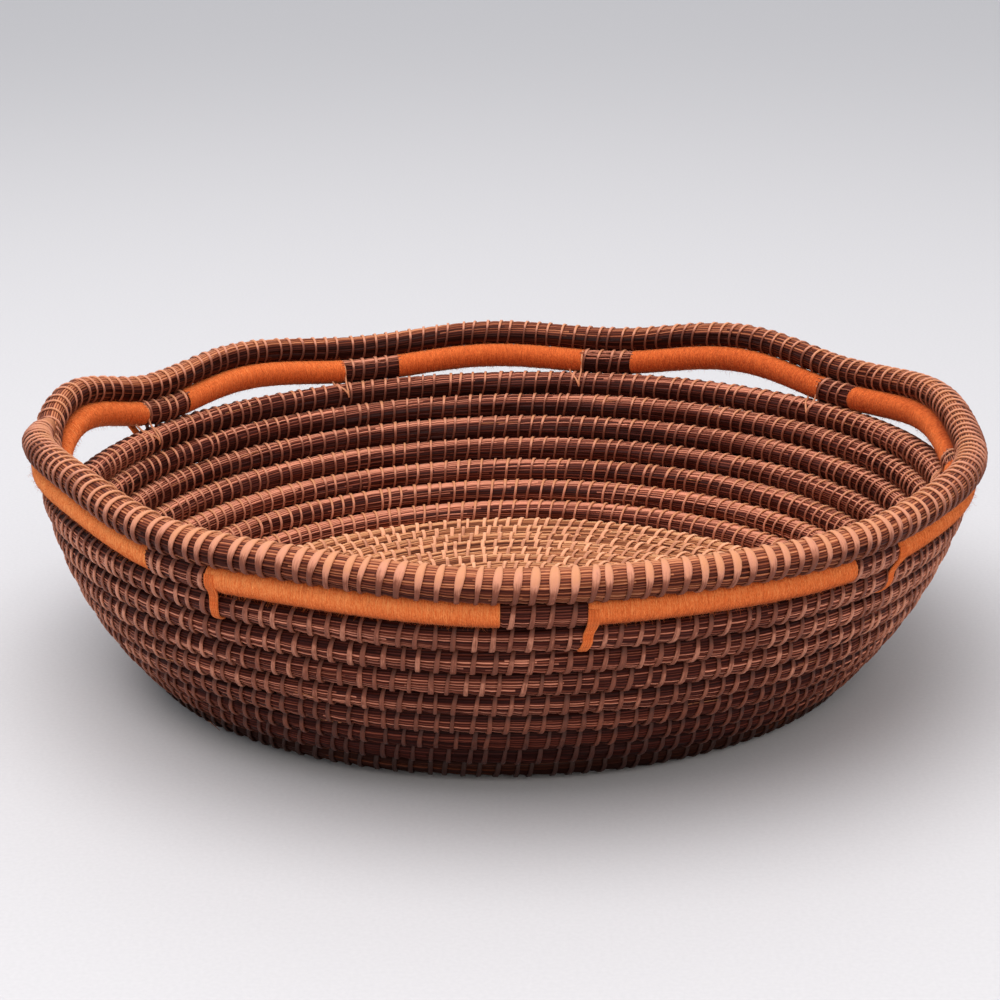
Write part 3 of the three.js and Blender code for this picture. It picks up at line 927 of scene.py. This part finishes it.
# %% [markdown]
# ## The window round
# Yarn is wound over the arches, and it draws the needles in, so the bundle is thinner there and bare of
# stitches. Only the joints between the arches are sewn.
# %% Window round
WRAP_SQUEEZE = 0.75 * MM
SHOULDER = 1.2 * MM


def round_at(loop, angle):
    return loop + ((SEAM_ANGLE - angle) % 360) / 360


# The coil runs clockwise, so a wrap begins at its window's higher angle.
wrap_ranges = [(round_at(WINDOW_START, end), round_at(WINDOW_START, start)) for start, end, _ in WINDOWS]


def wrap_shrink(rounds):
    """How far the yarn draws the bundle in: nothing at a joint, all of it past a shoulder."""
    shoulder = SHOULDER / (2 * np.pi * coil_radius(np.array([WINDOW_START]))[0])
    share = np.zeros_like(rounds)
    for low, high in wrap_ranges:
        inside = smoothstep(rounds, low, low + shoulder) * (1 - smoothstep(rounds, high - shoulder, high))
        share = np.maximum(share, inside)
    return WRAP_SQUEEZE * share


sew("window_coil", WINDOW_START, RIM_START, wall_needles, 14, (1.0, 1.3, 0.8),
    wavy=True, shrink=wrap_shrink)

# %% [markdown]
# ## The rim
# The last round carries the broadest stitches, which stand out of its outline as small ribs and fan out on
# the side towards the camera. Its end runs a little way over its own beginning, thins out and is bound
# with a thread of its own.
# %% Rim round
FRONT_SWELL = 1.35
# The bundle's share of its full section, so many degrees before its end.
TAPER_ANGLES = [0, 2, 6, 14]
TAPER_SHARES = [0.25, 0.5, 0.78, 1]
BINDING_START = 14 * MM
BINDING_SPACING = 0.85 * MM
BINDING_TURNS = 16


def rim_thinning(rounds):
    return np.interp((RIM_END - rounds) * 360, TAPER_ANGLES, TAPER_SHARES)


def front_swell(rounds):
    return FRONT_SWELL * towards_camera(rounds, 0.45, 1)


sew("rim_coil", RIM_START, RIM_END, rim_needles, 15, (0.9, 1.3, 0.7),
    wavy=True, thin=rim_thinning, swell=front_swell)
binding = rounds_at(coil_length(RIM_END) - BINDING_START + BINDING_SPACING * np.arange(BINDING_TURNS))
stitches_on("rim_coil_binding", binding, binding_thread, np.random.default_rng(16), (0.7, 0.7, 0.7),
            wavy=True, slant=0.3 * MM, dip=0.2 * MM, thin=rim_thinning)

# %% [markdown]
# ## Orange yarn
# Each wrap is one strand wound more than a hundred times. The strand is modelled as it lies, turn by turn,
# with the turns pressed close and a little uneven.
# %% Yarn strands
YARN_DIAMETER = 0.95 * MM
YARN_PITCH = 0.52 * MM
YARN_SIDES = 6
TURN_POINTS = 22
WRAP_PROUD = 0.32 * MM
YARN_END_GAP = 0.3 * MM
TURN_ERROR = 0.13 * YARN_PITCH
LIFT_ERROR = 0.04 * MM
FINE_TIP = 0.3
# Painted light and shade on the yarn, as tones: a lift is painted light, a shade is painted shade.
YARN_TONE = 0.27
TOP_LIFT = 0.35
RIGHT_SHADE = 0.3
FRONT_LIFT = 0.65
BETWEEN_ROUNDS_SHADE = 1.8


def strands(name, path, normals, diameter, material, sides=YARN_SIDES, thin_ends=False, tone=0.5):
    """A tube along each path[strand, point]; normals say which way its first side faces."""
    way = unit(np.gradient(path, axis=1))
    normals = square_to(normals, way)
    across = np.cross(way, normals)
    side = evenly_round(sides)
    reach = np.full(path.shape[:2], diameter / 2)
    if thin_ends:
        reach = reach * np.linspace(1, FINE_TIP, path.shape[1])
    ring = np.cos(side)[:, None] * normals[:, :, None] + np.sin(side)[:, None] * across[:, :, None]
    points = path[:, :, None] + reach[..., None, None] * ring
    steps = np.linalg.norm(np.diff(path, axis=1), axis=-1)
    lengths = np.concatenate([np.zeros((len(path), 1)), np.cumsum(steps, axis=1)], 1)
    return tube_object(name, points, lengths, material, tone=tone)


def wrap_helix(first, last, rng):
    """Points of the wound strand and the direction away from the bundle at each."""
    begin = coil_length(first) + YARN_END_GAP
    whole = coil_length(last) - coil_length(first) - 2 * YARN_END_GAP
    turns = int(whole / YARN_PITCH)
    place = np.linspace(0, turns, turns * TURN_POINTS + 1)
    drift = np.interp(place, np.arange(turns + 1), rng.normal(0, TURN_ERROR, turns + 1))
    rounds = rounds_at(begin + np.clip(whole * place / turns + drift, 0, whole))
    lift = np.interp(place, np.arange(turns + 1), rng.normal(0, LIFT_ERROR, turns + 1))
    high = half_height(rounds) + WRAP_PROUD - YARN_DIAMETER / 2 + lift
    thick = BUNDLE_DIAMETER / 2 + WRAP_PROUD - YARN_DIAMETER / 2 + lift
    turn = 2 * np.pi * place
    middle, up_way, out_way, _ = coil_places(rounds, True)
    up, out = np.cos(turn)[:, None], np.sin(turn)[:, None]
    path = middle + up * high[:, None] * up_way + out * thick[:, None] * out_way
    return path, up * up_way + out * out_way


def painted_yarn_shading(path, away):
    """Painted light on top and on the left, and in front painted light with painted shade where the rounds
    above and below shade it.
    """
    front = smoothstep(-path[:, 1:2], -0.08, 0.08)
    right = smoothstep(path[:, :1], -0.12, 0.12)
    facing_up = away[:, 2:]
    near = front * (FRONT_LIFT - BETWEEN_ROUNDS_SHADE * facing_up ** 4)
    return YARN_TONE + TOP_LIFT * facing_up - RIGHT_SHADE * right + near


wrap_paths = []
for number, (low, high) in enumerate(wrap_ranges, 1):
    rng = np.random.default_rng(20 + number)
    path, away = wrap_helix(low, high, rng)
    wrap_paths.append((path, away))
    wound = strands(f"window_wrap_{number}_yarn", path[None], away[None], YARN_DIAMETER, orange_wool,
                    tone=painted_yarn_shading(path, away)[None])
    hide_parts(f"window_wrap_{number}")
    print(f"wrap {number}: {len(path) // TURN_POINTS} turns")

# %% [markdown]
# ## Ties
# At one end of each wrap the yarn runs down over the wall's top round and into the groove under it, as four
# strands side by side outside. Inside, two pale thread ends hang from the wrap. Each strand is a few corner
# points, rounded by cutting its corners three times over.
# %% Tie stitches
TIE_DIAMETER = 0.8 * MM
TAIL_DIAMETER = 0.65 * MM
TIE_INSET = 1.6 * MM
TIE_ERROR = 0.05 * MM
TAIL_ERROR = 0.06 * MM
WRAP_REACH = BUNDLE_DIAMETER / 2 + WRAP_PROUD
WALL_REACH = FLAT_REACH + SQUEEZE_ALLOWANCE
# How proud a strand's middle lies of the wrap and of the wall, as shares of its diameter.
TIE_PROUD = (0.1, 0.5)
TAIL_PROUD = (0, 0.3)
# In millimetres: where the tie's strands lie on the wrap, and how far past that they meet the groove.
TIE_OFFSETS = (-1.0, -0.33, 0.33, 1.0)
TIE_ADVANCE = 1.7
TIE_NARROWING = 0.75
# Corners of a strand: how far along, whether on the wrap or on the round below it, height and reach from
# the bundle's middle as shares. A tie goes from 0, its top, to 1; a tail's are millimetres past the tie.
TIE_CORNERS = [(0, True, 0.7, 0.72), (0, True, 0, 1), (0, True, -0.75, 0.8), (0.5, False, 0.7, 0.8),
               (0.5, False, 0.1, 1), (1, False, -0.8, 0.8), (1, False, -1.15, 0.35)]
STRAIGHT_TAIL = [(1.3, True, 0.75, 0.65), (1.3, True, 0, 1.02), (1.2, True, -0.85, 0.6),
                 (1, False, 0.75, 0.75), (0.8, False, 0.1, 1.02), (0.8, False, -0.3, 0.85)]
SLANTING_TAIL = [(-3, True, -1, 0.3), (-2.6, False, 0.95, 0.45), (-2, False, 0.75, 0.75),
                 (-0.6, False, 0.35, 0.98), (0.6, False, -0.15, 1.03), (0.9, False, -0.45, 0.8)]


def softened(corners):
    """corners[strand, point] with every corner cut three times, which leaves a smooth line."""
    for _ in range(3):
        near = corners[:, :-1] * 0.75 + corners[:, 1:] * 0.25
        far = corners[:, :-1] * 0.25 + corners[:, 1:] * 0.75
        cut = np.stack([near, far], 2).reshape(len(corners), -1, 3)
        corners = np.concatenate([corners[:, :1], cut, corners[:, -1:]], 1)
    return corners


def corner_points(end, side, corners, diameter, proud):
    """Places of the corners, given in metres past the end; side is 1 outside and -1 inside."""
    points = []
    for past, on_wrap, height, share in corners:
        rounds = rounds_at(np.array([end + past])) - (0 if on_wrap else 1)
        middle, up, out, _ = coil_places(rounds, on_wrap)
        reach = WRAP_REACH + proud[0] * diameter if on_wrap else WALL_REACH + proud[1] * diameter
        place = middle + up * height * half_height(rounds)[:, None] + out * side * (share * reach)
        points.append(place[0])
    return points


def tie_strand(end, offset):
    """Outside, from the wrap down to the groove, which it meets beyond the tie's end."""
    top, foot = offset * MM, (TIE_NARROWING * offset - TIE_ADVANCE) * MM
    corners = [(-(top * (1 - share) + foot * share), *place) for share, *place in TIE_CORNERS]
    return corner_points(end, 1, corners, TIE_DIAMETER, TIE_PROUD)


def tail_strand(end, corners):
    """Inside, from the wrap down over the round below."""
    corners = [(past * MM, *place) for past, *place in corners]
    return corner_points(end, -1, corners, TAIL_DIAMETER, TAIL_PROUD)


def lay_tie(name, corners, end, diameter, material, tone):
    path = softened(corners)
    away, _, _, _ = coil_places(rounds_at(np.array([end])))
    normals = np.broadcast_to(unit(away), path.shape)
    strands(name, path, normals, diameter, material, tone=tone)


def make_tie(number, last, rng):
    end = coil_length(last) - TIE_INSET
    tie = np.array([tie_strand(end, offset) for offset in TIE_OFFSETS])
    tie = tie + rng.normal(0, TIE_ERROR, tie.shape)
    lay_tie(f"window_wrap_{number}_tie", tie, end, TIE_DIAMETER, orange_wool, 0.5)
    tail = np.array([tail_strand(end, corners) for corners in (STRAIGHT_TAIL, SLANTING_TAIL)])
    tail = tail + rng.normal(0, TAIL_ERROR, tail.shape)
    lay_tie(f"window_wrap_{number}_tail", tail, end, TAIL_DIAMETER, peach_thread, 0.85)


for number, (_, last) in enumerate(wrap_ranges, 1):
    make_tie(number, last, np.random.default_rng(60 + number))
print(f"{len(wrap_ranges)} ties")

# %% [markdown]
# ## Thread across the joints
# Fine thread goes on from wrap to wrap, in two loose strands along the inside of each joint.
# %% Floats
FLOAT_DIAMETER = 0.36 * MM
FLOAT_POINTS = 14
FLOAT_OVERLAP = 1.2 * MM
FLOAT_STAND = 0.1 * MM
FLOAT_HEIGHTS = (0.55, 0.3)
FLOAT_WANDER = 0.05


def make_floats():
    rng = np.random.default_rng(70)
    ordered = sorted(wrap_ranges)
    paths, normals = [], []
    for (_, leave), (arrive, _) in zip(ordered[:-1], ordered[1:]):
        begin, end = coil_length(leave) - FLOAT_OVERLAP, coil_length(arrive) + FLOAT_OVERLAP
        rounds = rounds_at(np.linspace(begin, end, FLOAT_POINTS))
        middle, up, out, _ = coil_places(rounds, True)
        for height in FLOAT_HEIGHTS:
            turn = -math.acos(height) + FLOAT_WANDER * np.cumsum(rng.normal(size=FLOAT_POINTS))
            slack = FLOAT_STAND * np.sin(np.linspace(0, np.pi, FLOAT_POINTS))
            reach = BUNDLE_DIAMETER / 2 + FLOAT_STAND + slack
            away = up * np.cos(turn)[:, None] + out * np.sin(turn)[:, None]
            paths.append(middle + away * reach[:, None])
            normals.append(away)
    made = strands("window_coil_floats", np.array(paths), np.array(normals), FLOAT_DIAMETER, peach_thread)
    print(f"{len(paths)} floats over {len(ordered) - 1} joints")


make_floats()

# %% [markdown]
# ## Fuzz
# Hair particles would do this too, but they aren't meshes and would be lost on export. Each fibre here is a
# short tapered tube of four rings that leaves the strand at a slant and bends.
# %% Loose fibres
FUZZ_PER_WRAP = 1800
FUZZ_DIAMETER = 0.07 * MM
FUZZ_LENGTH = 0.9 * MM
FUZZ_BEND = 0.45
FUZZ_RINGS = 4


def fuzz(name, path, away, rng):
    pick = rng.integers(1, len(path) - 1, FUZZ_PER_WRAP)
    base, normal = path[pick], away[pick]
    leave = unit(0.5 * normal + 0.6 * rng.normal(size=(FUZZ_PER_WRAP, 3)))
    bend = FUZZ_BEND * rng.normal(size=(FUZZ_PER_WRAP, 3))
    share = np.linspace(0, 1, FUZZ_RINGS)[None, :, None]
    length = (FUZZ_LENGTH * (0.4 + 0.9 * rng.random(FUZZ_PER_WRAP)))[:, None, None]
    start = base + normal * (YARN_DIAMETER * 0.42)
    fibres = start[:, None] + length * (share * leave[:, None] + share ** 2 * bend[:, None])
    normals = np.cross(leave, bend)[:, None].repeat(FUZZ_RINGS, 1)
    made = strands(name, fibres, normals, FUZZ_DIAMETER, orange_wool, sides=3, thin_ends=True)


for number, (path, away) in enumerate(wrap_paths, 1):
    fuzz(f"window_wrap_{number}_fuzz", path, away, np.random.default_rng(40 + number))
print(f"{FUZZ_PER_WRAP * len(wrap_paths)} loose fibres")

# %% [markdown]
# ## Stray needles
# No bundle is quite tidy: here and there a needle's tip has sprung out of the coil.
# %% Stray needle tips
STRAY_NEEDLES = 90
STRAY_DIAMETER = 0.45 * MM
STRAY_POINTS = 6


def varied(rng, low, high):
    return low + (high - low) * rng.random((STRAY_NEEDLES, 1))


def make_strays():
    rng = np.random.default_rng(80)
    share = np.linspace(0, 1, STRAY_POINTS)[None, :]
    begin = varied(rng, coil_length(2), coil_length(WINDOW_START - 0.1))
    length = varied(rng, 5, 14) * MM * np.where(varied(rng, 0, 1) < 0.5, -1, 1)
    rounds = rounds_at(begin + length * share)
    turn = rng.choice([-1.0, 1.0], (STRAY_NEEDLES, 1)) * varied(rng, 0.5, 1.8)
    lift = share ** 2 * varied(rng, 0.3, 1.6) * MM
    places = coil_places(rounds.ravel())
    middle, up, out, _ = (way.reshape(STRAY_NEEDLES, STRAY_POINTS, 3) for way in places)
    away = up * np.cos(turn)[..., None] + out * np.sin(turn)[..., None]
    path = middle + away * (FLAT_REACH + lift)[..., None]
    path[..., 2] = np.maximum(path[..., 2], STRAY_DIAMETER)
    made = strands("stray_needles", path, away, STRAY_DIAMETER, lit_needles, sides=4, thin_ends=True)
    print(f"{STRAY_NEEDLES} stray needles")


make_strays()

# %% [markdown]
# ## The table and the light
# A pale table top that runs far back is all the background the photograph has. A big soft lamp overhead
# lights the crown of every round and leaves its underside dark, a second one lights the table far behind,
# and the sky and a dim lamp in front lift the shade on the near side.
# %% Table, lamps and sky
TABLE_HALF = 6.0
SKY_COLOUR = (1.0, 0.97, 0.95, 1.0)
SKY_STRENGTH = 0.74


def make_table():
    shader = Shader("pale table", roughness=0.6, specular=0.2)
    place = shader.read("ShaderNodeTexCoord", "Object")
    mottle = shader.noise(place, scale=900.0, detail=2.0)
    tones = [(0.3, (0.52, 0.535, 0.58)), (0.7, (0.545, 0.56, 0.605))]
    shader.set_input("Base Color", shader.ramp(mottle, tones))
    mesh = bpy.data.meshes.new("table")
    corners = [(x * TABLE_HALF, y * TABLE_HALF, 0) for x, y in [(-1, -1), (1, -1), (1, 1), (-1, 1)]]
    mesh.from_pydata(corners, [], [(0, 1, 2, 3)])
    mesh.materials.append(shader.material)
    table = bpy.data.objects.new("table", mesh)
    bpy.context.scene.collection.objects.link(table)


def make_lamp(name, place, aim, size, power, colour):
    """A round soft lamp, its size in metres and its power in watts."""
    lamp = bpy.data.lights.new(name, "AREA")
    lamp.shape = "DISK"
    lamp.size = size
    lamp.energy = power
    lamp.color = colour
    made = bpy.data.objects.new(name, lamp)
    way = Vector(aim) - Vector(place)
    made.matrix_world = Matrix.Translation(place) @ way.to_track_quat("-Z", "Y").to_matrix().to_4x4()
    bpy.context.scene.collection.objects.link(made)


def make_sky():
    sky = bpy.data.worlds.new("sky")
    sky.use_nodes = True
    background = sky.node_tree.nodes["Background"]
    background.inputs["Color"].default_value = SKY_COLOUR
    background.inputs["Strength"].default_value = SKY_STRENGTH
    bpy.context.scene.world = sky


make_table()
make_lamp("overhead light", (-0.2, -0.12, 1.2), (0, 0, 0), 1.4, 16, (1.0, 0.95, 0.9))
make_lamp("far light", (0, 3.0, 2.2), (0, 2.6, 0), 3.0, 14, (0.97, 0.98, 1.0))
make_lamp("front fill", (0.3, -1.2, 0.6), (0, 0, 0.03), 0.9, 4.5, (1.0, 0.84, 0.68))
make_sky()
bpy.context.scene.view_settings.view_transform = "Standard"
print(f"a table {2 * TABLE_HALF:.0f} m wide, {len(bpy.data.lights)} lamps and a sky")
